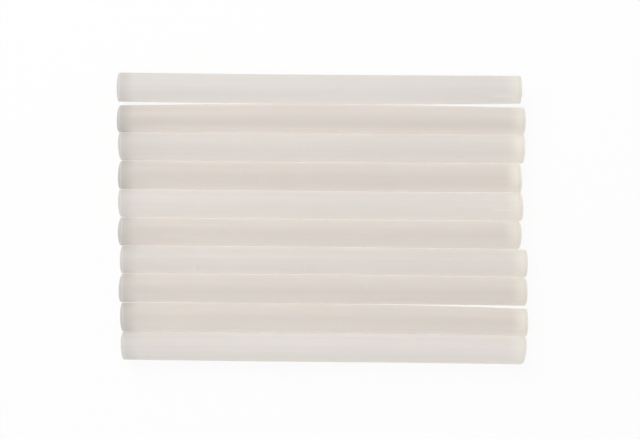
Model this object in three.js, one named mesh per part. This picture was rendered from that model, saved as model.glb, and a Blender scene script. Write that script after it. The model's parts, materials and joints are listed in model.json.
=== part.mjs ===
// Ten hot glue sticks of the mini size, lying side by side in one layer.
//
// Each stick is a solid rod of translucent hot-melt adhesive. It was extruded, then cooled on a
// belt that left it slightly flat underneath and slightly bowed, then chopped to length by a
// blade that rolled the rim where it went in and dragged a thin lip where it came out.
//
// Axes: +X along the sticks, +Y across the row from the last stick to the first, +Z up.
// The origin is the middle of the row's footprint, on the surface that the sticks lie on.

import * as THREE from "three";

// Sizes of a stick, in millimetres
const STICK_DIAMETER = 7;
const STICK_LENGTH = 100;
const BELT_FLAT_WIDTH = 0.9;
const CUT_ROLL = 0.35;
const CUT_NIP = 0.08;
const CUT_LIP = 0.14;

// Clearance between two sticks that lie against each other, in millimetres
const TOUCHING_GAP = 0.05;

// How finely a stick is faceted: corners round it, and steps along it
const SIDES = 36;
const STEPS = 8;

// How far the first stick's ends bend away from the row, as a share of the diameter
const firstBowShare = 0.02;

// The sticks, from the far side of the row to the near side, each with its left end first.
// widthShares: its width at the left end, middle and right end, as shares of the diameter.
// openShares: how far its ends stand off the stick before it, as shares of the diameter.
// lengthShare, shiftShare: its length and how far right it lies, as shares of the length.
// slants and leans: how far the cuts are out of square in plan and in height, in degrees.
// bladeTurns: from which side the blade came, in degrees round the stick.
const stickShares = [
  {
    tint: "neutral",
    widthShares: [1.03, 1.045, 0.985],
    openShares: [0, 0],
    lengthShare: 0.999,
    shiftShare: -0.008,
    slants: [2, -2],
    leans: [1, -0.5],
    bladeTurns: [80, 110],
  },
  {
    tint: "warm",
    widthShares: [0.965, 1.03, 0.965],
    openShares: [0.12, 0.14],
    lengthShare: 1.007,
    shiftShare: -0.003,
    slants: [2, 0.5],
    leans: [-0.5, 1],
    bladeTurns: [60, 60],
  },
  {
    tint: "neutral",
    widthShares: [0.985, 1.03, 1.02],
    openShares: [0, 0],
    lengthShare: 1.002,
    shiftShare: -0.002,
    slants: [-0.5, 0],
    leans: [0, 0.5],
    bladeTurns: [140, 100],
  },
  {
    tint: "warm",
    widthShares: [1.015, 1.015, 1.025],
    openShares: [0, 0],
    lengthShare: 0.994,
    shiftShare: -0.005,
    slants: [1, -1.5],
    leans: [0.5, -1],
    bladeTurns: [20, 30],
  },
  {
    tint: "neutral",
    widthShares: [0.99, 0.995, 1.01],
    openShares: [0, 0],
    lengthShare: 0.996,
    shiftShare: -0.0035,
    slants: [-2, -5],
    leans: [-1, 0],
    bladeTurns: [95, 200],
  },
  {
    tint: "warm",
    widthShares: [1.01, 0.98, 1],
    openShares: [0, 0],
    lengthShare: 0.989,
    shiftShare: -0.005,
    slants: [2, -1],
    leans: [0.5, 1],
    bladeTurns: [250, 240],
  },
  {
    tint: "neutral",
    widthShares: [0.99, 0.975, 0.985],
    openShares: [0, 0],
    lengthShare: 1.006,
    shiftShare: 0.006,
    slants: [-0.5, -1],
    leans: [1, -0.5],
    bladeTurns: [70, 120],
  },
  {
    tint: "warm",
    widthShares: [1.015, 1.025, 1.005],
    openShares: [0, 0],
    lengthShare: 1.003,
    shiftShare: 0.005,
    slants: [-0.5, 2.5],
    leans: [-0.5, 0.5],
    bladeTurns: [330, 350],
  },
  {
    tint: "warm",
    widthShares: [1.03, 1.04, 0.97],
    openShares: [0.01, 0.1],
    lengthShare: 1.006,
    shiftShare: 0.0085,
    slants: [-2, 0.5],
    leans: [0.5, -1],
    bladeTurns: [110, 85],
  },
  {
    tint: "neutral",
    widthShares: [0.985, 1.02, 1],
    openShares: [0, 0],
    lengthShare: 0.997,
    shiftShare: 0.0065,
    slants: [-5, 4.5],
    leans: [0, 1],
    bladeTurns: [50, 160],
  },
];

// The adhesive comes milky, some sticks a little warmer in tone than others
const tints = {
  neutral: { color: 0xe2ddd7, roughness: 0.35, metalness: 0 },
  warm: { color: 0xded4ca, roughness: 0.38, metalness: 0 },
};

// A share that follows a soft curve along the row, from its left value through its middle one
// to its right one. At is where along the row: -1 at a stick's left end and 1 at its right.
function along([left, middle, right]) {
  return (at) => middle + ((at < 0 ? left : right) - middle) * at * at;
}

// Works out the lines that a stick lies between from the near edge of the stick before it
function layStick(shares, edgeBefore) {
  const width = along(shares.widthShares);
  const [openLeft, openRight] = shares.openShares;
  const open = along([openLeft, 0, openRight]);
  const farEdge = (at) => edgeBefore(at) - TOUCHING_GAP - open(at) * STICK_DIAMETER;
  const radius = (at) => (width(at) * STICK_DIAMETER) / 2;
  return {
    radius,
    middle: (at) => farEdge(at) - radius(at),
    nearEdge: (at) => farEdge(at) - radius(at) * 2,
  };
}

// The directions of a section's corners, round from one edge of the belt flat to its other edge
function cornerAngles(radius) {
  const flatHalfAngle = Math.asin(BELT_FLAT_WIDTH / 2 / radius);
  const roundTurn = 2 * (Math.PI - flatHalfAngle);
  const start = flatHalfAngle - Math.PI / 2;
  return Array.from({ length: SIDES }, (_, i) => start + (roundTurn * i) / (SIDES - 1));
}

// The middle of the stick's section at one place along it, resting on its belt flat
function sectionAt(lay, x) {
  const at = x / (STICK_LENGTH / 2);
  const radius = lay.radius(at);
  const height = Math.sqrt(radius ** 2 - (BELT_FLAT_WIDTH / 2) ** 2);
  return { x, y: lay.middle(at), z: height, radius, angles: cornerAngles(radius) };
}

// A ring of corners round the rod, square to the row
function bodyRing(section) {
  return section.angles.map(
    (angle) =>
      new THREE.Vector3(
        section.x,
        section.y + section.radius * Math.cos(angle),
        section.z + section.radius * Math.sin(angle),
      ),
  );
}

// The three rings of a cut end, from the rod to the rim of the flat face. Side is -1 at the left
// end and 1 at the right. The blade enters at full roll and leaves at the nip, with the lip.
function cutRings(section, side, slant, lean, bladeTurn) {
  const slantSlope = Math.tan(THREE.MathUtils.degToRad(slant));
  const leanSlope = Math.tan(THREE.MathUtils.degToRad(lean));
  const entry = THREE.MathUtils.degToRad(bladeTurn);
  const quarterShare = 1 - Math.SQRT1_2;
  const ring = (inset, depth) =>
    section.angles.map((angle) => {
      const facing = Math.cos(angle - entry);
      const roll = CUT_NIP + ((CUT_ROLL - CUT_NIP) * (1 + facing)) / 2;
      const lip = CUT_LIP * Math.max(0, -facing) ** 2;
      const reach = section.radius - roll * inset;
      const y = reach * Math.cos(angle);
      const z = reach * Math.sin(angle);
      const faceX = section.x + y * slantSlope + z * leanSlope;
      return new THREE.Vector3(faceX - side * depth(roll, lip), section.y + y, section.z + z);
    });
  return [
    ring(0, (roll) => roll),
    ring(quarterShare, (roll, lip) => roll * quarterShare - lip),
    ring(1, () => 0),
  ];
}

// Joins rings of corners into one closed skin, with a flat face on the first and on the last
function skin(rings) {
  const corners = rings.flat();
  const lastRing = corners.length - SIDES;
  const faces = [];
  for (let start = 0; start < lastRing; start += SIDES)
    for (let side = 0; side < SIDES; side++) {
      const a = start + side;
      const b = start + ((side + 1) % SIDES);
      faces.push(a, b, b + SIDES, a, b + SIDES, a + SIDES);
    }
  for (let side = 1; side < SIDES - 1; side++) {
    faces.push(0, side + 1, side);
    faces.push(lastRing, lastRing + side, lastRing + side + 1);
  }
  const geometry = new THREE.BufferGeometry().setFromPoints(corners);
  geometry.setIndex(faces);
  geometry.computeVertexNormals();
  return geometry;
}

// One rod from its left cut to its right cut
function stickGeometry(shares, lay) {
  const length = STICK_LENGTH * shares.lengthShare;
  const middleX = STICK_LENGTH * shares.shiftShare;
  const sectionOf = (share) => sectionAt(lay, middleX + length * (share - 1 / 2));
  const cutOf = (end, side) =>
    cutRings(
      sectionOf(end),
      side,
      shares.slants[end],
      shares.leans[end],
      shares.bladeTurns[end],
    );
  const body = Array.from({ length: STEPS - 1 }, (_, i) => bodyRing(sectionOf((i + 1) / STEPS)));
  return skin([...cutOf(0, -1).reverse(), ...body, ...cutOf(1, 1)]);
}

// The row, laid stick by stick from the far side to the near side
const row = new THREE.Group();
let edgeBefore = (at) => TOUCHING_GAP + firstBowShare * STICK_DIAMETER * at * at;
stickShares.forEach((shares, i) => {
  const lay = layStick(shares, edgeBefore);
  const material = new THREE.MeshStandardMaterial(tints[shares.tint]);
  const stick = new THREE.Mesh(stickGeometry(shares, lay), material);
  stick.name = `glue_stick_${String(i + 1).padStart(2, "0")}`;
  row.add(stick);
  edgeBefore = lay.nearEdge;
});

// The origin goes under the middle of the row
const middle = new THREE.Box3().setFromObject(row).getCenter(new THREE.Vector3());
row.position.set(-middle.x, -middle.y, 0);

const glueSticks = new THREE.Group();
glueSticks.add(row);

export default glueSticks;
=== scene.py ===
# %% [markdown]
# Ten mini hot glue sticks lie side by side on white paper, seen straight from above. Each one is
# a rod of milky adhesive, about 7 mm across and 100 mm long, that was squeezed out hot, cooled on
# a belt and chopped to length. The lesson starts from the plain rods of the imported model. They
# fix where each stick lies, how wide it is and how its ends are cut, so all of that is measured
# from them. Only the small marks and the tones are set after the photograph.

# %% Load the imported sticks
import json
import math

import bmesh
import bpy
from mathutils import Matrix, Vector


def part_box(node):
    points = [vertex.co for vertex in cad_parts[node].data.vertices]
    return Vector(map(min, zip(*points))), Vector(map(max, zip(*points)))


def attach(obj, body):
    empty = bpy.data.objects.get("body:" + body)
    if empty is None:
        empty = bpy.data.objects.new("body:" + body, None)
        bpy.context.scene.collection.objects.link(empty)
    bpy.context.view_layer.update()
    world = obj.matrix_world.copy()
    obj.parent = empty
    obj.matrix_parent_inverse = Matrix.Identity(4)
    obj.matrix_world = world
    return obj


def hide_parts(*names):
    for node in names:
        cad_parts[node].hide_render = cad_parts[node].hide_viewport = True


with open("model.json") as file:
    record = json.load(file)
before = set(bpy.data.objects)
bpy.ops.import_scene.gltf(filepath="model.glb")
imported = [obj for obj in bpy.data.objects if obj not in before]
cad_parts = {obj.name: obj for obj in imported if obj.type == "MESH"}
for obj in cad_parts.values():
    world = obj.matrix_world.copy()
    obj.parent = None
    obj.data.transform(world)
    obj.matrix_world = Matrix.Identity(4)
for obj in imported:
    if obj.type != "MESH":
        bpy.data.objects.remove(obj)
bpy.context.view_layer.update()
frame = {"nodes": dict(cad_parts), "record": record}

MM = 0.001
stick_nodes = sorted(frame["nodes"])

# %% [markdown]
# The camera hangs straight over the row and looks down. An orthographic camera would be simpler,
# but it has no perspective, and the picture shows some: the outer sticks show a little of their
# outer sides and the cut ends curve outwards. How strong that is depends on the camera's height
# alone, 225 mm, and the lens only fits the row into the picture. The row lies a shade clockwise
# there, so the camera is turned by just under half a degree.

# %% Hang the camera
CAMERA_HEIGHT = 225.1 * MM
CAMERA_OFF_MIDDLE = (-0.60 * MM, -0.25 * MM)
CAMERA_TURN = math.radians(0.45)
CAMERA_LENS = 50
CAMERA_SENSOR = 36

camera_data = bpy.data.cameras.new("overhead_camera")
camera_data.lens = CAMERA_LENS
camera_data.sensor_width = CAMERA_SENSOR
camera = bpy.data.objects.new("overhead_camera", camera_data)
camera.location = (*CAMERA_OFF_MIDDLE, CAMERA_HEIGHT)
camera.rotation_euler = (0, 0, CAMERA_TURN)
bpy.context.scene.collection.objects.link(camera)
bpy.context.scene.camera = camera
print("camera at", [round(place, 4) for place in camera.location])

# %% [markdown]
# The sticks lie on plain white paper. The paper is a real surface that takes their faint shadow,
# but paper lit at an even level comes out a little under white. A sheet that only glows would be
# white and take no shadow. So a part of it glows, for the camera, for reflections and for light
# seen through the sticks, at a strength of 1, which is exactly white. Light that bounces off the
# paper onto the sticks isn't changed by that.

# %% Make white paper
PAPER_WHITE = (0.97, 0.97, 0.97, 1)
PAPER_GLOW_SHARE = 0.88


def seen_directly(nodes, links):
    """A node output that is 1 for what the camera, a reflection or a see-through surface shows."""
    path = nodes.new("ShaderNodeLightPath")
    camera_or_gloss = nodes.new("ShaderNodeMath")
    camera_or_gloss.operation = "MAXIMUM"
    links.new(path.outputs["Is Camera Ray"], camera_or_gloss.inputs[0])
    links.new(path.outputs["Is Glossy Ray"], camera_or_gloss.inputs[1])
    any_of_them = nodes.new("ShaderNodeMath")
    any_of_them.operation = "MAXIMUM"
    links.new(camera_or_gloss.outputs[0], any_of_them.inputs[0])
    links.new(path.outputs["Is Transmission Ray"], any_of_them.inputs[1])
    return any_of_them.outputs[0]


paper_material = bpy.data.materials.new("white_paper")
paper_material.use_nodes = True
paper_nodes = paper_material.node_tree.nodes
paper_links = paper_material.node_tree.links
paper_nodes.clear()
paper_matt = paper_nodes.new("ShaderNodeBsdfDiffuse")
paper_matt.inputs["Color"].default_value = PAPER_WHITE
paper_glow = paper_nodes.new("ShaderNodeEmission")
paper_glow.inputs["Strength"].default_value = 1
paper_share = paper_nodes.new("ShaderNodeMath")
paper_share.operation = "MULTIPLY"
paper_share.inputs[1].default_value = PAPER_GLOW_SHARE
paper_mix = paper_nodes.new("ShaderNodeMixShader")
paper_out = paper_nodes.new("ShaderNodeOutputMaterial")
paper_links.new(seen_directly(paper_nodes, paper_links), paper_share.inputs[0])
paper_links.new(paper_share.outputs[0], paper_mix.inputs["Fac"])
paper_links.new(paper_matt.outputs[0], paper_mix.inputs[1])
paper_links.new(paper_glow.outputs[0], paper_mix.inputs[2])
paper_links.new(paper_mix.outputs[0], paper_out.inputs["Surface"])
print("the paper glows by a share of", PAPER_GLOW_SHARE)

# %% [markdown]
# The sheet is far wider than the row. Seen from above its edges stay out of the picture, and in a
# low view they end far off, white against white. It is laid a hair below the sticks, which rest on
# their own flats and never share its surface.

# %% Lay the paper
PAPER_SIZE = 2.4
PAPER_DEPTH = 0.02 * MM

bpy.ops.object.select_all(action="DESELECT")
bpy.ops.mesh.primitive_plane_add(size=PAPER_SIZE, location=(0, 0, -PAPER_DEPTH))
paper = bpy.context.active_object
paper.name = "white_paper"
bpy.ops.object.transform_apply(location=True, rotation=True, scale=True)
paper.data.materials.append(paper_material)
print("paper", PAPER_SIZE, "m square")

# %% [markdown]
# The light is that of a small studio. Its first part is a white surround, a shade cool, that
# reaches the sticks from everywhere. A picture of a real studio could give it too, but a plain
# colour is as soft and needs no file. What the camera and the reflections see of it is plain
# white, so that a low view ends in the same white as the paper.

# %% Set the white surround
SURROUND_STRENGTH = 0.7
SURROUND_TINT = (0.965, 0.985, 1, 1)
PLAIN_WHITE = (1, 1, 1, 1)

world = bpy.data.worlds.new("white_studio")
bpy.context.scene.world = world
world.use_nodes = True
world_nodes = world.node_tree.nodes
world_links = world.node_tree.links
world_nodes.clear()
surround = world_nodes.new("ShaderNodeBackground")
surround.inputs["Color"].default_value = SURROUND_TINT
surround.inputs["Strength"].default_value = SURROUND_STRENGTH
white_backdrop = world_nodes.new("ShaderNodeBackground")
white_backdrop.inputs["Color"].default_value = PLAIN_WHITE
white_backdrop.inputs["Strength"].default_value = 1
world_mix = world_nodes.new("ShaderNodeMixShader")
world_out = world_nodes.new("ShaderNodeOutputWorld")
world_links.new(seen_directly(world_nodes, world_links), world_mix.inputs["Fac"])
world_links.new(surround.outputs[0], world_mix.inputs[1])
world_links.new(white_backdrop.outputs[0], world_mix.inputs[2])
world_links.new(world_mix.outputs[0], world_out.inputs["Surface"])
bpy.context.scene.view_settings.view_transform = "Standard"
print("surround at a strength of", SURROUND_STRENGTH)

# %% [markdown]
# The second part is one large soft and slightly warm lamp, high on the far left. Milky rods need
# it, because its light soaks in on one side and leaves less on the other, and this slow change
# across a stick is all that shows it to be round. A sun or a spot would draw hard shadows, which
# the photograph hasn't got, so the lamp is a broad square.

# %% Hang the soft lamp
LAMP_WATTS = 1.45
LAMP_TINT = (1, 0.955, 0.89)
LAMP_SIZE = 0.42
LAMP_PLACE = Vector((-0.2, 0.34, 0.46))

lamp_data = bpy.data.lights.new("soft_lamp", "AREA")
lamp_data.energy = LAMP_WATTS
lamp_data.size = LAMP_SIZE
lamp_data.color = LAMP_TINT
lamp = bpy.data.objects.new("soft_lamp", lamp_data)
lamp.location = LAMP_PLACE
lamp.rotation_euler = LAMP_PLACE.to_track_quat("Z", "Y").to_euler()
bpy.context.scene.collection.objects.link(lamp)
print("lamp", LAMP_WATTS, "W at", [round(place, 2) for place in lamp.location])

# %% [markdown]
# No two sticks are alike: each is a little bowed and a little wider or narrower along its length.
# The numbers could be typed in, but measured ones still fit when a size changes. A calliper would
# close its jaws on the stick, and a ray does the same here. One ray from each side and one from
# above give the middle, the half width and the height of the rod at any place along it.

# %% Measure a rod with rays
JAWS_OPEN = 5 * MM
END_MARGIN = 1.5 * MM
CHECK_PLACES = (-45 * MM, 0, 45 * MM)


def measure_rod(node, x):
    """(y of the middle, z of the middle, radius) of a rod at one place along it."""
    low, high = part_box(node.name)
    x = min(max(x, low.x + END_MARGIN), high.x - END_MARGIN)
    half_height = high.z / 2
    far = node.ray_cast(Vector((x, high.y + JAWS_OPEN, half_height)), Vector((0, -1, 0)))[1]
    near = node.ray_cast(Vector((x, low.y - JAWS_OPEN, half_height)), Vector((0, 1, 0)))[1]
    middle_y = (far.y + near.y) / 2
    top = node.ray_cast(Vector((x, middle_y, high.z + JAWS_OPEN)), Vector((0, 0, -1)))[1]
    radius = (far.y - near.y) / 2
    return middle_y, top.z - radius, radius


for node_name in stick_nodes:
    readings = [measure_rod(frame["nodes"][node_name], x) for x in CHECK_PLACES]
    widths = [round(radius * 2 / MM, 2) for _, _, radius in readings]
    print(node_name, "widths in mm, left, middle, right:", widths)

# %% [markdown]
# Later steps ask for a rod's middle and width at thousands of places. Three rays for each of them
# would be slow, so every rod is measured once at even gaps, and a value in between is read off on
# the straight line from one measured place to the next.

# %% Read off what lies in between
MEASURED_GAPS = 20


def measure_all_along(node):
    """(the first x, the gap, the readings) of a rod that is measured at even gaps."""
    low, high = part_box(node.name)
    places = [
        low.x + (high.x - low.x) * step / MEASURED_GAPS for step in range(MEASURED_GAPS + 1)
    ]
    return low.x, places[1] - low.x, [measure_rod(node, x) for x in places]


def section_at(node, x):
    """(y of the middle, radius) of a rod at x."""
    first_x, gap, readings = readings_of[node.name]
    place = (x - first_x) / gap
    before = min(max(int(place), 0), len(readings) - 2)
    (y, _, radius), (next_y, _, next_radius) = readings[before : before + 2]
    share = place - before
    return y + (next_y - y) * share, radius + (next_radius - radius) * share


readings_of = {
    node_name: measure_all_along(frame["nodes"][node_name]) for node_name in stick_nodes
}
print("places measured on each rod:", MEASURED_GAPS + 1)

# %% [markdown]
# The chopped face of a rod is flat but never quite square to it. Its tilt could be read from the
# mesh, but then the face would have to be found among all the others first. Three rays along the
# rod find three points of it, and three points fix a plane.

# %% Measure the cut faces
FACE_PROBE = 1.8 * MM
PROBE_TURNS = (90, 210, 330)


def measure_cut(node, side):
    """(a point, the outward direction) of a rod's cut face. Side is -1 at the left, 1 right."""
    low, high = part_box(node.name)
    end_x = high.x if side > 0 else low.x
    middle_y, middle_z, _ = measure_rod(node, end_x)
    points = []
    for turn in PROBE_TURNS:
        angle = math.radians(turn)
        start = Vector(
            (
                end_x + side * JAWS_OPEN,
                middle_y + FACE_PROBE * math.cos(angle),
                middle_z + FACE_PROBE * math.sin(angle),
            )
        )
        points.append(node.ray_cast(start, Vector((-side, 0, 0)))[1])
    outward = (points[1] - points[0]).cross(points[2] - points[0]).normalized()
    if outward.x * side < 0:
        outward.negate()
    return sum(points, Vector()) / 3, outward


for node_name in stick_nodes:
    cuts = [measure_cut(frame["nodes"][node_name], side)[1] for side in (-1, 1)]
    tilts = [round(math.degrees(math.asin(math.hypot(cut.y, cut.z))), 1) for cut in cuts]
    print(node_name, "cuts out of square by", tilts, "degrees")

# %% [markdown]
# Several steps below move one part of a rod, so they need to pick it out. In a window that is a
# box drawn round some corners. In a script it is a test on where each corner or face lies, which
# has the advantage that it still holds when a size changes.

# %% Pick parts of a rod


def select_only(rod):
    """Selects one rod and nothing else."""
    bpy.ops.object.select_all(action="DESELECT")
    rod.select_set(True)
    bpy.context.view_layer.objects.active = rod


def edit_only(rod):
    """Opens one rod alone for editing."""
    select_only(rod)
    bpy.ops.object.mode_set(mode="EDIT")


def pick(rod, kind, wanted):
    """Selects the corners, edges or faces for which wanted says yes, and counts them."""
    bpy.ops.mesh.select_mode(type=kind)
    bpy.ops.mesh.select_all(action="DESELECT")
    mesh = bmesh.from_edit_mesh(rod.data)
    parts = {"VERT": mesh.verts, "EDGE": mesh.edges, "FACE": mesh.faces}[kind]
    found = 0
    for part in parts:
        if wanted(part):
            part.select_set(True)
            found += 1
    mesh.select_flush_mode()
    bmesh.update_edit_mesh(rod.data, loop_triangles=False, destructive=False)
    return found


print("ready to pick by place")

# %% [markdown]
# A stick starts as a cylinder that lies along the row and is a little too long. A curve with a
# round bevel would bow more easily, but a mesh has its corners at hand for the flat, the cuts and
# the rims that follow. A cylinder has no corners between its ends, so it can't bow yet.
# Subdividing its long edges gives it rings, and each ring is then moved and sized to what the rays
# measured there.

# %% Squeeze out a rod
ROD_SIDES = 72
ROD_RADIUS = 3.5 * MM
ROD_SPARE = 3 * MM
MEASURED_RINGS = 27
CUTS_BETWEEN_RINGS = 3


def squeeze_out_rod(name, node):
    """A bowed rod with the measured width all along, longer than the stick at both ends."""
    low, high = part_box(node.name)
    middle = (low + high) / 2
    length = high.x - low.x + 2 * ROD_SPARE
    bpy.ops.object.select_all(action="DESELECT")
    bpy.ops.mesh.primitive_cylinder_add(
        vertices=ROD_SIDES,
        radius=ROD_RADIUS,
        depth=length,
        location=(middle.x, middle.y, ROD_RADIUS),
        rotation=(0, math.pi / 2, 0),
    )
    rod = bpy.context.active_object
    rod.name = name
    bpy.ops.object.transform_apply(location=True, rotation=True, scale=True)
    edit_only(rod)
    long_enough = length / 2
    pick(rod, "EDGE", lambda edge: edge.calc_length() > long_enough)
    bpy.ops.mesh.subdivide(number_cuts=MEASURED_RINGS)
    ring_gap = length / (MEASURED_RINGS + 1)
    for ring in range(MEASURED_RINGS + 2):
        x = middle.x - length / 2 + ring * ring_gap
        middle_y, middle_z, radius = measure_rod(node, x)
        pick(rod, "VERT", lambda corner, x=x: abs(corner.co.x - x) < ring_gap / 4)
        bpy.ops.transform.resize(
            value=(1, radius / ROD_RADIUS, radius / ROD_RADIUS),
            center_override=(x, middle.y, ROD_RADIUS),
        )
        bpy.ops.transform.translate(value=(0, middle_y - middle.y, middle_z - ROD_RADIUS))
    pick(rod, "EDGE", lambda edge: abs(edge.verts[0].co.x - edge.verts[1].co.x) > ring_gap / 2)
    bpy.ops.mesh.subdivide(number_cuts=CUTS_BETWEEN_RINGS)
    bpy.ops.object.mode_set(mode="OBJECT")
    return rod


print("a rod will have", (MEASURED_RINGS + 1) * (CUTS_BETWEEN_RINGS + 1), "steps along it")

# %% [markdown]
# The adhesive is still soft when it meets the cooling belt, so the belt leaves a narrow flat under
# the rod. It is what the stick rests on. A plane could cut it off, but a cut adds uneven faces.
# Pressing the lowest corners down onto the paper keeps the long rows of the rod as they are.

# %% Press the belt flat
BELT_FLAT_WIDTH = 0.9 * MM


def press_belt_flat(rod, node):
    """Flattens the underside to the height of the paper."""
    edit_only(rod)

    def under(corner):
        middle_y, _ = section_at(node, corner.co.x)
        return abs(corner.co.y - middle_y) < BELT_FLAT_WIDTH / 2 and corner.co.z < ROD_RADIUS

    pick(rod, "VERT", under)
    bpy.ops.transform.resize(value=(1, 1, 0), center_override=(0, 0, 0))
    bpy.ops.object.mode_set(mode="OBJECT")


print("belt flat", BELT_FLAT_WIDTH / MM, "mm wide")

# %% [markdown]
# A guillotine chops the cold rod. A big box could be subtracted from it, but a bisect cuts along a
# plane, clears the waste and closes the end in one step. Two light cuts before it ring the rod
# just behind the face, so that what happens to the rim stays near it.

# %% Chop the ends
RING_BEHIND_CUT = (1.1 * MM, 0.5 * MM)


def chop(rod, point, outward):
    """Cuts one end off along a plane and leaves a flat face there."""
    edit_only(rod)
    for depth in RING_BEHIND_CUT:
        bpy.ops.mesh.select_all(action="SELECT")
        bpy.ops.mesh.bisect(plane_co=point - outward * depth, plane_no=outward)
    bpy.ops.mesh.select_all(action="SELECT")
    bpy.ops.mesh.bisect(plane_co=point, plane_no=outward, use_fill=True, clear_outer=True)
    bpy.ops.object.mode_set(mode="OBJECT")


print("rings behind each cut at", [round(depth / MM, 2) for depth in RING_BEHIND_CUT], "mm")

# %% [markdown]
# The blade rolls the rim over where it enters, shears the middle and drags a thin lip out where it
# leaves. A bevel gives the rim a small round, but the same one all the way. So the roll and the
# lip are then pushed in and pulled out in ever narrower sectors, and each swells and fades round
# the rim instead of standing there as a step.

# %% Roll the rim and drag the lip
CUT_ROLL = 0.35 * MM
CUT_NIP = 0.1 * MM
CUT_LIP = 0.14 * MM
RIM_STEPS = 3
ROLL_SECTORS = (110, 85, 62, 40)
LIP_SECTORS = (70, 56, 44, 32, 20)
ON_PLANE = 0.002 * MM

# From which side the blade came, in degrees round the stick, at its left and its right end
blade_turns = {
    "glue_stick_01": (80, 110),
    "glue_stick_02": (60, 60),
    "glue_stick_03": (140, 100),
    "glue_stick_04": (20, 30),
    "glue_stick_05": (95, 200),
    "glue_stick_06": (250, 240),
    "glue_stick_07": (70, 120),
    "glue_stick_08": (330, 350),
    "glue_stick_09": (110, 85),
    "glue_stick_10": (50, 160),
}


def across_rod(turn):
    """The direction across the rod that lies so many degrees up from the far side."""
    angle = math.radians(turn)
    return Vector((0, math.cos(angle), math.sin(angle)))


def height_over(point, outward, place):
    """How far a place stands proud of a cut face."""
    return (place - point).dot(outward)


def pick_rim_sector(rod, point, outward, towards, half_angle):
    """Selects the rim of a cut face within half_angle degrees of one direction."""

    def in_sector(corner):
        spoke = corner.co - point
        height = spoke.dot(outward)
        spoke -= outward * height
        at_rim = spoke.length > ROD_RADIUS - CUT_ROLL
        near_face = -CUT_ROLL < height < CUT_LIP
        return at_rim and near_face and math.degrees(spoke.angle(towards)) < half_angle

    return pick(rod, "VERT", in_sector)


def round_rim(rod, point, outward, turn):
    """Bevels the rim of a cut face and rolls it over where the blade came in."""
    entry = across_rod(turn)
    edit_only(rod)

    def on_rim(edge):
        return all(abs(height_over(point, outward, end.co)) < ON_PLANE for end in edge.verts)

    pick(rod, "EDGE", on_rim)
    bpy.ops.mesh.bevel(offset=CUT_NIP, segments=RIM_STEPS, affect="EDGES")
    step = (CUT_ROLL - CUT_NIP) / 2 / len(ROLL_SECTORS)
    for sector in ROLL_SECTORS:
        if pick_rim_sector(rod, point, outward, entry, sector):
            bpy.ops.transform.translate(value=(outward + entry) * -step)
    bpy.ops.object.mode_set(mode="OBJECT")


def drag_lip(rod, point, outward, turn):
    """Pulls the rim out where the blade left it."""
    leaving = -across_rod(turn)
    edit_only(rod)
    for sector in LIP_SECTORS:
        if pick_rim_sector(rod, point, outward, leaving, sector):
            bpy.ops.transform.translate(value=outward * CUT_LIP / len(LIP_SECTORS))
    bpy.ops.object.mode_set(mode="OBJECT")


print("roll", CUT_ROLL / MM, "mm, nip", CUT_NIP / MM, "mm, lip", CUT_LIP / MM, "mm")

# %% [markdown]
# A cut face isn't smooth. The blade chatters through the soft adhesive and leaves faint ridges
# across its travel, and the middle of the face sinks a little as the rod springs back. A bump in
# the material could look like that, but it would be missing from the mesh. The face is one flat
# sheet so far, so it is first sliced into strips both ways. Every second row of the corners that
# this makes is then pushed in as a groove, which leaves a ridge on either side, and the middle is
# pushed in over ever smaller circles.

# %% Mark the cut face
CHATTER_GAPS = (0.42, 0.55, 0.38, 0.61, 0.47, 0.52, 0.4, 0.58, 0.44, 0.5, 0.62, 0.39, 0.53)
FIRST_CHATTER = -3.2 * MM
CHATTER_DEPTH = 0.045 * MM
CROSS_GAP = 0.8 * MM
CROSS_CUTS_A_SIDE = 4
SINK_RINGS = (2.7 * MM, 2.1 * MM, 1.5 * MM, 0.9 * MM)
SINK_DEPTH = 0.018 * MM
SQUARE_TO_FACE = 0.999

chatter_places = [FIRST_CHATTER]
for chatter_gap in CHATTER_GAPS:
    chatter_places.append(chatter_places[-1] + chatter_gap * MM)
cross_places = [CROSS_GAP * step for step in range(-CROSS_CUTS_A_SIDE, CROSS_CUTS_A_SIDE + 1)]


def mark_face(rod, point, outward, turn):
    """Leaves chatter grooves and a slight hollow on a cut face."""
    travel = across_rod(turn)
    travel = (travel - outward * travel.dot(outward)).normalized()
    across = outward.cross(travel)
    edit_only(rod)

    def on_face(face):
        return face.normal.dot(outward) > SQUARE_TO_FACE and all(
            abs(height_over(point, outward, corner.co)) < ON_PLANE for corner in face.verts
        )

    for direction, places in ((travel, chatter_places), (across, cross_places)):
        for place in places:
            pick(rod, "FACE", on_face)
            bpy.ops.mesh.bisect(plane_co=point + direction * place, plane_no=direction)
    for place in chatter_places[::2]:

        def on_groove(corner, place=place):
            spoke = corner.co - point
            flat = abs(spoke.dot(outward)) < ON_PLANE
            return flat and abs(spoke.dot(travel) - place) < ON_PLANE

        if pick(rod, "VERT", on_groove):
            bpy.ops.transform.translate(value=outward * -CHATTER_DEPTH)
    for reach in SINK_RINGS:

        def within(corner, reach=reach):
            spoke = corner.co - point
            return abs(spoke.dot(outward)) < CUT_LIP and spoke.length < reach

        pick(rod, "VERT", within)
        bpy.ops.transform.translate(value=outward * -SINK_DEPTH)
    bpy.ops.object.mode_set(mode="OBJECT")


print("chatter grooves across each face:", len(chatter_places[::2]))

# %% [markdown]
# A squeezed rod isn't a perfect cylinder either. Its skin rises and falls by a hundredth of a
# millimetre or two, which shows only as a slight unrest in the light along it. Moving each corner
# by chance would roughen the skin instead. A Displace modifier with a soft cloud texture moves
# neighbours together, and it is applied so that the rise is real.

# %% Let the skin rise and fall
SKIN_WAVE_LENGTH = 7 * MM
SKIN_WAVE_HEIGHT = 0.02 * MM

skin_waves = bpy.data.textures.new("skin_waves", "CLOUDS")
skin_waves.noise_scale = SKIN_WAVE_LENGTH
skin_waves.noise_depth = 1


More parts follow.
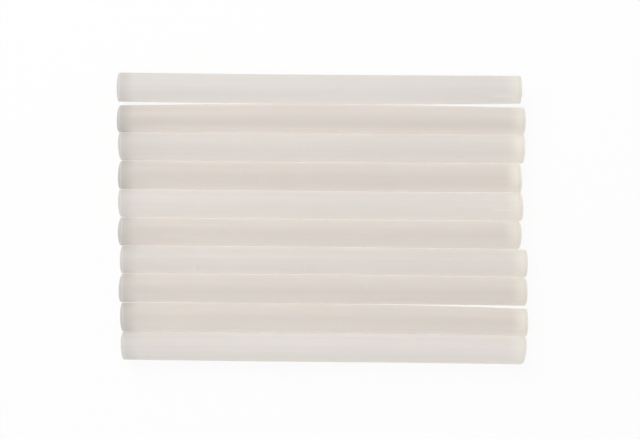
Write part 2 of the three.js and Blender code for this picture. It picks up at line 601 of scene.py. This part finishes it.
def wave_skin(rod):
    """Moves the skin in and out a little, all but the belt flat."""
    round_part = rod.vertex_groups.new(name="round_part")
    free = [corner.index for corner in rod.data.vertices if corner.co.z > SKIN_WAVE_HEIGHT]
    round_part.add(free, 1, "REPLACE")
    select_only(rod)
    bpy.ops.object.modifier_add(type="DISPLACE")
    wave = rod.modifiers[-1]
    wave.texture = skin_waves
    wave.texture_coords = "LOCAL"
    wave.strength = SKIN_WAVE_HEIGHT
    wave.mid_level = 0.5
    wave.vertex_group = "round_part"
    bpy.ops.object.modifier_apply(modifier=wave.name)
    rod.vertex_groups.clear()


print("skin waves", SKIN_WAVE_HEIGHT / MM, "mm high")

# %% [markdown]
# Handling leaves a few small nicks across some sticks. In a window a knife would draw each one.
# Here it takes three short bisects side by side, which cut only the faces round it, and the
# corners on the middle one are pushed in.

# %% Nick the skin
NICK_HALF_LENGTH = 0.9 * MM
NICK_HALF_WIDTH = 0.16 * MM
NICK_DEPTH = 0.05 * MM
NICK_REACH = 3 * MM

# Each nick: how far along the stick from the middle of the row, in mm, and degrees from the top
nicks = {
    "glue_stick_03": ((-4.4, 0),),
    "glue_stick_04": ((-19.3, 19), (-16.4, -13), (18.0, 4)),
    "glue_stick_06": ((-23.6, 12), (31.1, 8)),
    "glue_stick_07": ((-30.9, -31), (-3.7, -23), (18.9, -23)),
    "glue_stick_08": ((-5.6, 1), (9.8, 24)),
    "glue_stick_09": ((8.2, 14), (3.5, -10)),
}


def turn_from_top(node, place):
    """How many degrees a place on a rod's skin lies from its top, towards the far side."""
    middle_y, _ = section_at(node, place.x)
    return math.degrees(math.atan2(place.y - middle_y, place.z - ROD_RADIUS))


def nick_skin(rod, node, along, turn):
    """Cuts one short nick across the skin."""
    x = along * MM
    half_turn = math.degrees(NICK_HALF_LENGTH / ROD_RADIUS)
    edit_only(rod)

    def near_nick(face):
        centre = face.calc_center_median()
        beside = abs(turn_from_top(node, centre) - turn) < half_turn * 2
        return beside and abs(centre.x - x) < NICK_REACH

    for step in (-1, 0, 1):
        pick(rod, "FACE", near_nick)
        bpy.ops.mesh.bisect(plane_co=(x + step * NICK_HALF_WIDTH, 0, 0), plane_no=(1, 0, 0))

    def in_nick(corner):
        on_line = abs(corner.co.x - x) < NICK_HALF_WIDTH / 2
        return on_line and abs(turn_from_top(node, corner.co) - turn) < half_turn

    pick(rod, "VERT", in_nick)
    bpy.ops.transform.shrink_fatten(value=-NICK_DEPTH)
    bpy.ops.object.mode_set(mode="OBJECT")


print("nicks:", sum(len(places) for places in nicks.values()))

# %% [markdown]
# The tumble into the bag leaves fine creases along some sticks, near their right ends. They could
# be cut in like the nicks, but the rod's sides are narrow enough as they are: one row of corners
# is lifted a little, for a few millimetres.

# %% Crease the skin
CREASE_HEIGHT = 0.05 * MM
HALF_SIDE_TURN = 180 / ROD_SIDES

# Each crease: from where to where along the stick, in mm, and degrees from the top
creases = {
    "glue_stick_01": (42.6, 49.0, -33),
    "glue_stick_04": (46.4, 49.2, -29),
    "glue_stick_05": (41.4, 46.8, -17),
    "glue_stick_07": (42.7, 46.9, -66),
    "glue_stick_08": (47.0, 50.4, -28),
    "glue_stick_09": (47.0, 50.6, -24),
}


def on_crease(node, place):
    """Whether a place on the skin lies on the line of the stick's crease."""
    if node.name not in creases:
        return False
    start, stop, turn = creases[node.name]
    within = start * MM < place.x < stop * MM
    return within and abs(turn_from_top(node, place) - turn) < HALF_SIDE_TURN


def crease_skin(rod, node):
    """Raises one fine crease along the skin."""
    edit_only(rod)
    pick(rod, "VERT", lambda corner: on_crease(node, corner.co))
    bpy.ops.transform.shrink_fatten(value=CREASE_HEIGHT)
    bpy.ops.object.mode_set(mode="OBJECT")


print("creases:", len(creases))

# %% [markdown]
# How a flank looks depends on what lies beside it, and here its light and shade are painted on.
# The renderer follows light through the milk of one stick at a time, so the light that a flank
# passes on where it touches the next stick is painted on as a pale tone. A flank that stands open
# gets less of this painted light on the near side, and on the lamp's side a painted shade deepens
# its very edge. On some sticks the painted light reaches a little further up the near side, by a
# share that is set for each stick.

# %% Paint light and shade on the flanks
FAR_FLANK_TURNS = (40, 88)
NEAR_FLANK_TURNS = (20, 88)
NEAR_SIDE_TURNS = (0, 30)
# How much painted light the touching and the open flanks get, and how much painted shade an open
# far flank gets at its edge
FAR_TOUCHING_SHARE = 0.8
NEAR_TOUCHING_SHARE = 0.65
FAR_OPEN_SHARE = 0.15
NEAR_OPEN_SHARE = 0.4
EDGE_POWER = 4
TOUCHING_GAPS = (0.1 * MM, 1.4 * MM)


def soft_step(value, start, stop):
    """0 before start, 1 after stop and a soft curve between."""
    share = min(max((value - start) / (stop - start), 0), 1)
    return share * share * (3 - 2 * share)


def closeness(node, neighbour, x):
    """1 where a stick touches its neighbour, 0 where they stand apart or there is none."""
    if neighbour is None:
        return 0
    middle_y, radius = section_at(node, x)
    other_y, other_radius = section_at(neighbour, x)
    return 1 - soft_step(abs(middle_y - other_y) - radius - other_radius, *TOUCHING_GAPS)


def flank_light_and_shade(turn, close, near_side_light):
    """(painted light, painted shade) on a flank that is close to its neighbour or not."""
    if turn > 0:
        flank = soft_step(turn, *FAR_FLANK_TURNS)
        edge = flank**EDGE_POWER
        return flank * close * FAR_TOUCHING_SHARE, edge * (1 - close) * FAR_OPEN_SHARE
    flank = soft_step(-turn, *NEAR_FLANK_TURNS)
    share = NEAR_OPEN_SHARE + (NEAR_TOUCHING_SHARE - NEAR_OPEN_SHARE) * close
    return flank * share + soft_step(-turn, *NEAR_SIDE_TURNS) * near_side_light, 0


print("far flank", FAR_FLANK_TURNS, "near flank", NEAR_FLANK_TURNS, "degrees off the top")

# %% [markdown]
# Four more things matter for the colour of a place on the skin, and all are painted light or
# shade. Along the top the milk is thickest, so less of the white paper's light comes through, and
# a painted shade darkens it there on the sticks that are milkiest. The crease gets a painted
# highlight. Near the cuts a painted shade greys the left end, where light leaks out through the
# cut face, and a painted glow keeps the right end creamy, where light comes in through it, most of
# all on the upper side. Last, the cut face seen through the milk from inside is painted on as a
# fine line that starts at the rim on both flanks and runs deepest over the top. A painted image
# could hold all this, but the stick would have to be unwrapped for it. Here it is written on the
# corners as attributes, which follow the bent rod, move with the stick and can be read by a
# material.

# %% Paint shade, glow and highlights on the skin
# the painted shade along the top fades out between these degrees off its deepest line
TOP_SHADE_TURNS = (3, 34)
# how strongly the painted highlight shows on the crease
CREASE_HIGHLIGHT_SHARE = 0.6
# how far from a cut the painted end shade and glow reach, and over which degrees the glow grows
# towards the upper side
END_LIGHT_DEPTHS = (1 * MM, 4.6 * MM)
END_GLOW_TURNS = (-45, 15)
LEAST_END_GLOW = 0.6
# slope of the painted line of the cut face seen through the milk
SEEN_THROUGH_SLOPE = 0.22
PAINTED_LIGHT_NAMES = (
    "painted_flank_light",
    "painted_flank_shade",
    "painted_top_shade",
    "painted_left_end_shade",
    "painted_right_end_glow",
    "painted_crease_highlight",
    "painted_left_seen_through_line",
    "painted_right_seen_through_line",
)

# For each stick, from 0 to 1: how much painted shade greys its left end, how much painted glow
# makes its right end creamy, how much painted shade darkens its top, with the degrees off the top
# where that painted shade is deepest, and how much painted light lies on its near side
painted_light_amounts = {
    "glue_stick_01": (0.6, 0.65, 0, 0, 0),
    "glue_stick_02": (1, 0.75, 0.3, -16, 0),
    "glue_stick_03": (0.6, 1, 0.16, 0, 0.05),
    "glue_stick_04": (1, 1, 0.22, -2, 0),
    "glue_stick_05": (0.45, 0.75, 0, 0, 0.25),
    "glue_stick_06": (0.8, 0.7, 0.27, 4, 0),
    "glue_stick_07": (0.55, 0.85, 0, 0, 0.05),
    "glue_stick_08": (0.75, 0.7, 0.24, 2, 0),
    "glue_stick_09": (0.9, 0.85, 0.22, 8, 0.14),
    "glue_stick_10": (0.4, 0.6, 0, 0, 0.08),
}


def paint_light_and_shade(rod, node, far_node, near_node, ends):
    """Writes on every corner its painted light and shade and how far off the painted lines it is.
    """
    for name in PAINTED_LIGHT_NAMES:
        rod.data.attributes.new(name, "FLOAT", "POINT")
    marks = [rod.data.attributes[name].data for name in PAINTED_LIGHT_NAMES]
    pale, deep, painted_top_shade, left, right, highlight_on_crease, *lines = marks
    left_shade_amount, right_glow_amount, top_shade_amount, top_shade_turn, near_side_light = painted_light_amounts[node.name]
    for corner in rod.data.vertices:
        turn = turn_from_top(node, corner.co)
        close = closeness(node, far_node if turn > 0 else near_node, corner.co.x)
        painted_light_share, painted_shade_share = flank_light_and_shade(turn, close, near_side_light)
        # painted light and painted shade on the flanks
        pale[corner.index].value = painted_light_share
        deep[corner.index].value = painted_shade_share
        off_top_shade = abs(turn - top_shade_turn)
        # painted shade along the top
        painted_top_shade[corner.index].value = top_shade_amount * (1 - soft_step(off_top_shade, *TOP_SHADE_TURNS))
        # painted highlight on the crease
        highlight_on_crease[corner.index].value = CREASE_HIGHLIGHT_SHARE if on_crease(node, corner.co) else 0
        upper = LEAST_END_GLOW + (1 - LEAST_END_GLOW) * soft_step(turn, *END_GLOW_TURNS)
        amounts = (left_shade_amount, right_glow_amount * upper)
        # painted shade at the left end and painted glow at the right end
        for cut, line, amount, (point, outward, _) in zip((left, right), lines, amounts, ends):
            depth = -height_over(point, outward, corner.co)
            cut[corner.index].value = amount * (1 - soft_step(depth, *END_LIGHT_DEPTHS))
            # distance from the painted line of the cut face seen through the milk
            off_line = depth - SEEN_THROUGH_SLOPE * (corner.co.z - point.z)
            line[corner.index].value = off_line / MM


print("kinds of mark on each stick:", len(PAINTED_LIGHT_NAMES))

# %% [markdown]
# Milk is judged as it shows on a screen, so its tones are given that way, from 0 to 255. The
# renderer counts light instead, in numbers that are hard to judge, and one function turns the
# first into the second. The first list holds the painted tone, of light or of shade, to which the
# adhesive turns at each kind of painted place. The second holds the tones of the painted fine
# lines at the cuts, where the cut face shows through the milk, with how strongly they show.

# %% Choose the tones
# half width of the painted lines of the cut faces seen through the milk
SEEN_THROUGH_HALF_WIDTH = 0.15
STREAK_SHARE = 0.16


def tone(colour):
    """A colour given as it shows on screen, from 0 to 255, as the renderer counts it."""
    shares = [value / 255 for value in colour]
    linear = [
        share / 12.92 if share <= 0.04045 else ((share + 0.055) / 1.055) ** 2.4
        for share in shares
    ]
    return (*linear, 1)


STREAK_TONE = tone((222, 218, 214))
PAINTED_LIGHT_TONES = (
    # painted light on the flanks, then painted shade at an open flank's edge
    ("painted_flank_light", tone((253, 250, 247))),
    ("painted_flank_shade", tone((226, 224, 222))),
    # painted shade along the top
    ("painted_top_shade", tone((222, 219, 214))),
    # painted grey shade at the left end and painted glow at the right end
    ("painted_left_end_shade", tone((220, 218, 217))),
    ("painted_right_end_glow", tone((255, 252, 245))),
    # painted highlight on the crease
    ("painted_crease_highlight", tone((253, 251, 248))),
)
PAINTED_LINE_TONES = (
    # painted lines of the cut faces seen through the milk
    ("painted_left_seen_through_line", tone((248, 245, 242)), 0.7),
    ("painted_right_seen_through_line", tone((224, 217, 209)), 0.3),
)
print("marked tones:", len(PAINTED_LIGHT_TONES), "fine lines:", len(PAINTED_LINE_TONES))

# %% [markdown]
# Nothing in the milk is even, so every look below starts from a pattern of noise. A photographed
# pattern would need a file and would repeat, and noise does neither. It is drawn on the stick's
# own coordinates, so that it moves with the stick, and stretched along the rod, as everything is
# that leaves a nozzle. Three numbers give a pattern: how fine it is, the factor by which it is
# squeezed along the stick, so that a small one makes long streaks, and how much detail it has. A
# pattern then sets a number, or blends one tone into the next.

# %% Draw patterns and blend tones
PATTERN_RANGE = (0.3, 0.7)


def noise(nodes, links, where, scale, stretch, detail):
    """A noise pattern on the object's own coordinates, stretched along the stick."""
    mapping = nodes.new("ShaderNodeMapping")
    mapping.inputs["Scale"].default_value = (stretch, 1, 1)
    links.new(where, mapping.inputs["Vector"])
    pattern = nodes.new("ShaderNodeTexNoise")
    pattern.inputs["Scale"].default_value = scale
    pattern.inputs["Detail"].default_value = detail
    links.new(mapping.outputs["Vector"], pattern.inputs["Vector"])
    return pattern.outputs["Fac"]


def between(nodes, links, amount, low, high):
    """A number that goes from low to high as a pattern goes from its darkest to its lightest."""
    spread = nodes.new("ShaderNodeMapRange")
    spread.inputs["From Min"].default_value = PATTERN_RANGE[0]
    spread.inputs["From Max"].default_value = PATTERN_RANGE[1]
    spread.inputs["To Min"].default_value = low
    spread.inputs["To Max"].default_value = high
    links.new(amount, spread.inputs["Value"])
    return spread.outputs["Result"]


def blend(nodes, links, amount, low_tone, high_tone):
    """A colour that goes from one tone to another as an amount goes from 0 to 1."""
    mix = nodes.new("ShaderNodeMix")
    mix.data_type = "RGBA"
    links.new(amount, mix.inputs["Factor"])
    if isinstance(low_tone, tuple):
        mix.inputs["A"].default_value = low_tone
    else:
        links.new(low_tone, mix.inputs["A"])
    mix.inputs["B"].default_value = high_tone
    return mix.outputs["Result"]


print("patterns are read from", PATTERN_RANGE[0], "to", PATTERN_RANGE[1])

# %% [markdown]
# The colour is put together in layers, because each can then be set without touching the others.
# Clouds of slightly different tone drift along the rod, and fine streaks from the nozzle run over
# them. On the skin come the painted light and shade, each blended in as far as its attribute
# says, and the painted fine lines at the cuts, which fade with the distance from their middle.

# %% Colour the milk
CLOUDS = (140, 0.12, 3)


def drifting_colour(nodes, links, where, nozzle_lines, tones):
    """A colour that drifts between a light and a deep tone, with fine streaks."""
    clouds = noise(nodes, links, where, *CLOUDS)
    colour = blend(nodes, links, between(nodes, links, clouds, 0, 1), *tones)
    streaks = between(nodes, links, nozzle_lines, 0, STREAK_SHARE)
    return blend(nodes, links, streaks, colour, STREAK_TONE)


def attribute(nodes, name):
    """What is written on the corners under a name."""
    reader = nodes.new("ShaderNodeAttribute")
    reader.attribute_name = name
    return reader.outputs["Fac"]


def colour_with_painted_light(nodes, links, colour):
    """The colour with the painted light and shade and the painted seen-through lines over it."""
    for name, painted_tone in PAINTED_LIGHT_TONES:
        colour = blend(nodes, links, attribute(nodes, name), colour, painted_tone)
    # painted lines of the cut faces seen through the milk
    for name, line_tone, share in PAINTED_LINE_TONES:
        off_line = nodes.new("ShaderNodeMath")
        off_line.operation = "ABSOLUTE"
        links.new(attribute(nodes, name), off_line.inputs[0])
        on_line = nodes.new("ShaderNodeMapRange")
        on_line.inputs["From Max"].default_value = SEEN_THROUGH_HALF_WIDTH
        on_line.inputs["To Min"].default_value = share
        on_line.inputs["To Max"].default_value = 0
        links.new(off_line.outputs[0], on_line.inputs["Value"])
        colour = blend(nodes, links, on_line.outputs["Result"], colour, line_tone)
    return colour


print("clouds", CLOUDS, "and streaks over them by a share of", STREAK_SHARE)

# %% [markdown]
# To a finger the skin is smooth, and yet its sheen isn't even. Smears make it shinier and duller
# by turns, the lines from the nozzle stand up by a few hundredths of a millimetre, and a finer
# grain lies over all of it. Lines and grain would take millions of faces in the mesh, so for these
# a bump in the material is the better way.

# %% Give the surface its sheen
SMEARS = (420, 0.1, 4)
DULLER = 0.07
SHINIER = -0.05
GRAIN = (2600, 0.7, 3)
GRAIN_HEIGHT = 0.012 * MM
GRAIN_STRENGTH = 0.25
NOZZLE_LINE_HEIGHT = 0.04 * MM


def uneven_roughness(nodes, links, where, roughness):
    """A roughness that smears make a little more or less."""
    smears = noise(nodes, links, where, *SMEARS)
    return between(nodes, links, smears, roughness + SHINIER, roughness + DULLER)


def fine_relief(nodes, links, where, nozzle_lines, line_strength):
    """The slope of the nozzle's lines with a fine grain over them."""
    lines = nodes.new("ShaderNodeBump")
    lines.inputs["Strength"].default_value = line_strength
    lines.inputs["Distance"].default_value = NOZZLE_LINE_HEIGHT
    links.new(nozzle_lines, lines.inputs["Height"])
    skin = nodes.new("ShaderNodeBump")
    skin.inputs["Strength"].default_value = GRAIN_STRENGTH
    skin.inputs["Distance"].default_value = GRAIN_HEIGHT
    links.new(noise(nodes, links, where, *GRAIN), skin.inputs["Height"])
    links.new(lines.outputs["Normal"], skin.inputs["Normal"])
    return skin.outputs["Normal"]


print("grain", GRAIN_HEIGHT / MM, "mm, nozzle lines", NOZZLE_LINE_HEIGHT / MM, "mm")

# %% [markdown]
# Hot-melt adhesive is milky: light goes in, wanders about for a few millimetres and comes out
# somewhere else. A plain matt surface would look like chalk, and a see-through one like glass.
# Subsurface scattering lets the light wander, red light furthest, and a share of translucent
# shading lets the light of the paper through the rod as well.

# %% Mix the adhesive
MILK_DEPTH = 3 * MM
MILK_REACH = (1, 0.86, 0.72)
THROUGH_SHARE = 0.68
ADHESIVE_IOR = 1.48
SPECULAR_LEVEL = 0.3
NOZZLE_LINES = (1300, 0.004, 2)


def adhesive(name, tones, roughness, line_strength, paints_light):
    """A milky adhesive between a light and a deep tone, with or without painted light and shade.
    """
    material = bpy.data.materials.new(name)
    material.use_nodes = True
    nodes = material.node_tree.nodes
    links = material.node_tree.links
    where = nodes.new("ShaderNodeTexCoord").outputs["Object"]
    nozzle_lines = noise(nodes, links, where, *NOZZLE_LINES)
    colour = drifting_colour(nodes, links, where, nozzle_lines, tones)
    # the painted light and shade go on the skin only
    if paints_light:
        colour = colour_with_painted_light(nodes, links, colour)

    milk = nodes["Principled BSDF"]
    milk.inputs["IOR"].default_value = ADHESIVE_IOR
    milk.inputs["Specular IOR Level"].default_value = SPECULAR_LEVEL
    milk.inputs["Subsurface Weight"].default_value = 1
    milk.inputs["Subsurface Radius"].default_value = MILK_REACH
    milk.inputs["Subsurface Scale"].default_value = MILK_DEPTH
    sheen = uneven_roughness(nodes, links, where, roughness)
    relief = fine_relief(nodes, links, where, nozzle_lines, line_strength)
    links.new(colour, milk.inputs["Base Color"])
    links.new(sheen, milk.inputs["Roughness"])
    links.new(relief, milk.inputs["Normal"])

    passed_on = nodes.new("ShaderNodeBsdfTranslucent")
    links.new(colour, passed_on.inputs["Color"])
    both = nodes.new("ShaderNodeMixShader")
    both.inputs["Fac"].default_value = THROUGH_SHARE
    links.new(milk.outputs["BSDF"], both.inputs[1])
    links.new(passed_on.outputs["BSDF"], both.inputs[2])
    links.new(both.outputs["Shader"], nodes["Material Output"].inputs["Surface"])
    return material


print("milk", MILK_DEPTH / MM, "mm deep, light through by a share of", THROUGH_SHARE)

# %% [markdown]
# Two batches lie in this row, one a little warmer than the other, and both have a smooth skin and
# rougher cut faces. Four materials made by hand would soon drift apart, so one function makes all
# four finishes. Each gets a light tone and a deep one.

# %% Make the four finishes
NEUTRAL_SKIN = (tone((243, 241, 240)), tone((239, 237, 235)))
WARM_SKIN = (tone((242, 239, 236)), tone((238, 234, 231)))
NEUTRAL_CUT = (tone((238, 236, 233)), tone((233, 230, 227)))
WARM_CUT = (tone((236, 232, 227)), tone((231, 226, 220)))
# the skin gets the painted light and shade, the cut faces don't
SMOOTH_SKIN = {"roughness": 0.36, "line_strength": 0.35, "paints_light": True}
ROUGH_CUT = {"roughness": 0.55, "line_strength": 0.1, "paints_light": False}

skins = {
    "adhesive_neutral": adhesive("adhesive_neutral", NEUTRAL_SKIN, **SMOOTH_SKIN),
    "adhesive_warm": adhesive("adhesive_warm", WARM_SKIN, **SMOOTH_SKIN),
}
cut_faces = {
    "adhesive_neutral": adhesive("neutral_cut_face", NEUTRAL_CUT, **ROUGH_CUT),
    "adhesive_warm": adhesive("warm_cut_face", WARM_CUT, **ROUGH_CUT),
}
print("finishes:", sorted(bpy.data.materials.keys()))

# %% [markdown]
# Now every stick is made in turn, with the steps in the order in which the real one went through
# them. One stick could be made and copied nine times, but no two of them are alike, so each is
# made from the start. Its skin gets one finish and its two cut faces the rougher one. The stick
# then takes the place of its plain rod and moves with it.

# %% Make the ten sticks
CREST_ANGLE = math.radians(35)
CUT_FACING = 0.9
SKIN_FINISH = 0
CUT_FINISH = 1

warm_sticks = {f"glue_stick_{number:02}" for number in (2, 4, 6, 8, 9)}
body_of_node = {
    node_name: body
    for body, members in frame["record"]["behaviour"]["bodies"].items()
    for node_name in members
}

stick_count = len(stick_nodes)
for place, node_name in enumerate(stick_nodes):
    node = frame["nodes"][node_name]
    far_node = frame["nodes"][stick_nodes[place - 1]] if place > 0 else None
    near_node = frame["nodes"][stick_nodes[place + 1]] if place < stick_count - 1 else None
    stick = squeeze_out_rod(node_name.replace("glue_stick", "milky_stick"), node)
    press_belt_flat(stick, node)
    ends = []
    for side, turn in zip((-1, 1), blade_turns[node_name]):
        point, outward = measure_cut(node, side)
        ends.append((point, outward, turn))
        chop(stick, point, outward)
        round_rim(stick, point, outward, turn)
    wave_skin(stick)
    for along, turn in nicks.get(node_name, ()):
        nick_skin(stick, node, along, turn)
    if node_name in creases:
        crease_skin(stick, node)
    for point, outward, turn in ends:
        mark_face(stick, point, outward, turn)
        drag_lip(stick, point, outward, turn)
    # paints light and shade on the stick's corners
    paint_light_and_shade(stick, node, far_node, near_node, ends)

    slot = "adhesive_warm" if node_name in warm_sticks else "adhesive_neutral"
    stick.data.materials.append(skins[slot])
    stick.data.materials.append(cut_faces[slot])
    for face in stick.data.polygons:
        face.material_index = CUT_FINISH if abs(face.normal.x) > CUT_FACING else SKIN_FINISH
    select_only(stick)
    bpy.ops.object.shade_smooth_by_angle(angle=CREST_ANGLE)
    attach(stick, body_of_node[node_name])
    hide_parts(node_name)
    print(stick.name, len(stick.data.polygons), "faces, slot", slot)
